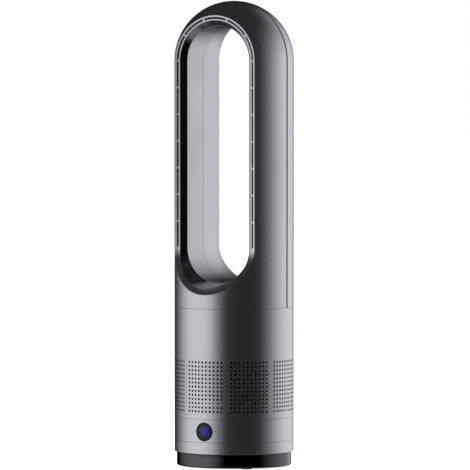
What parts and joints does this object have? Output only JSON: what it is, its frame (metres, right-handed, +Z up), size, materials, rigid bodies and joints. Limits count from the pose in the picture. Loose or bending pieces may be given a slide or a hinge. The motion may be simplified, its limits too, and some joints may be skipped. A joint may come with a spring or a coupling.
{
  "type": "bladeless tower fan",
  "caption": "Free-standing bladeless tower fan: domed column with a tall opening, slotted outlet band, perforated intake, push button and an oscillating tower on a round foot.",
  "frame": {"origin": "centre of the underside, on the ground, on the tower's vertical axis", "axes": "+Z up along the column; the outlet band and the button face -Y; +X to the right of someone who looks at the front"},
  "size_m": [0.16, 0.16, 0.624],
  "materials": {
    "shell_metallic": "metallic lacquer, satin to gloss",
    "plinth_gloss": "dark high gloss",
    "dark_trim": "dark satin",
    "lens_gloss": "black high gloss",
    "glow": "translucent, lit from behind",
    "black_plastic": "moulded matt",
    "grey_plastic": "moulded matt",
    "white_plastic": "moulded, waxy",
    "rubber": "matt",
    "steel": "machined",
    "aluminium": "plain",
    "copper": "enamelled windings on laminations",
    "board": "printed circuit board"
  },
  "bodies": {
    "base": {"base_plinth": "plinth_gloss", "base_plate": "black_plastic", "base_weight": "steel", "power_jack": "black_plastic", "pivot_post": "steel", "fixed_gear": "white_plastic", "slide_ring": "white_plastic", "retaining_ring": "steel", "rubber_foot_1": "rubber", "rubber_foot_2": "rubber", "rubber_foot_3": "rubber", "rubber_foot_4": "rubber"},
    "tower": {"turntable": "grey_plastic", "bottom_ring": "shell_metallic", "oscillation_motor": "aluminium", "control_band": "shell_metallic", "button_bezel": "dark_trim", "control_board": "board", "tact_switch": "black_plastic", "status_led": "glow", "ir_receiver": "black_plastic", "driver_board": "board", "heat_sink": "aluminium", "partition_plate": "black_plastic", "intake_grille": "shell_metallic", "bellmouth": "grey_plastic", "impeller_duct": "grey_plastic", "duct_mount": "rubber", "duct_support_ring": "grey_plastic", "duct_gasket": "rubber", "diffuser": "grey_plastic", "motor_bucket": "black_plastic", "motor_cap": "black_plastic", "motor_stator": "copper", "lower_bearing": "steel", "upper_bearing": "steel", "head_collar": "grey_plastic", "head_front_shell": "shell_metallic", "head_rear_shell": "shell_metallic", "seam_strip": "dark_trim", "outlet_bezel_top": "shell_metallic", "outlet_bezel_bottom": "shell_metallic", "outlet_bezel_left": "shell_metallic", "outlet_bezel_right": "shell_metallic", "front_liner_top": "shell_metallic", "front_liner_bottom": "shell_metallic", "front_liner_left": "shell_metallic", "front_liner_right": "shell_metallic", "rear_liner": "shell_metallic"},
    "pinion": {"drive_pinion": "white_plastic"},
    "power_button": {"button_lens": "lens_gloss", "button_light_guide": "glow"},
    "fan_wheel": {"impeller": "grey_plastic", "motor_shaft": "steel", "motor_rotor": "steel", "impeller_nut": "steel"}
  },
  "joints": [
    {"name": "oscillation", "type": "hinge", "parent": "base", "child": "tower", "pos_m": [0, 0, 0.02], "axis": [0, 0, 1], "range_deg": [-35, 35]},
    {"name": "pinion_spin", "type": "hinge", "parent": "tower", "child": "pinion", "pos_m": [0, 0.02565, 0.02], "axis": [0, 0, 1], "range_deg": [-90, 90]},
    {"name": "button_push", "type": "slide", "parent": "tower", "child": "power_button", "axis": [0, 1, 0], "range_m": [0, 0.0008], "stiffness_N_per_m": 1500, "springref_m": -0.0004},
    {"name": "fan_spin", "type": "hinge", "parent": "tower", "child": "fan_wheel", "pos_m": [0, 0, 0.12], "axis": [0, 0, 1], "continuous": true}
  ],
  "couplings": [
    {"joint": "pinion_spin", "follows": "oscillation", "ratio": 2.4}
  ]
}
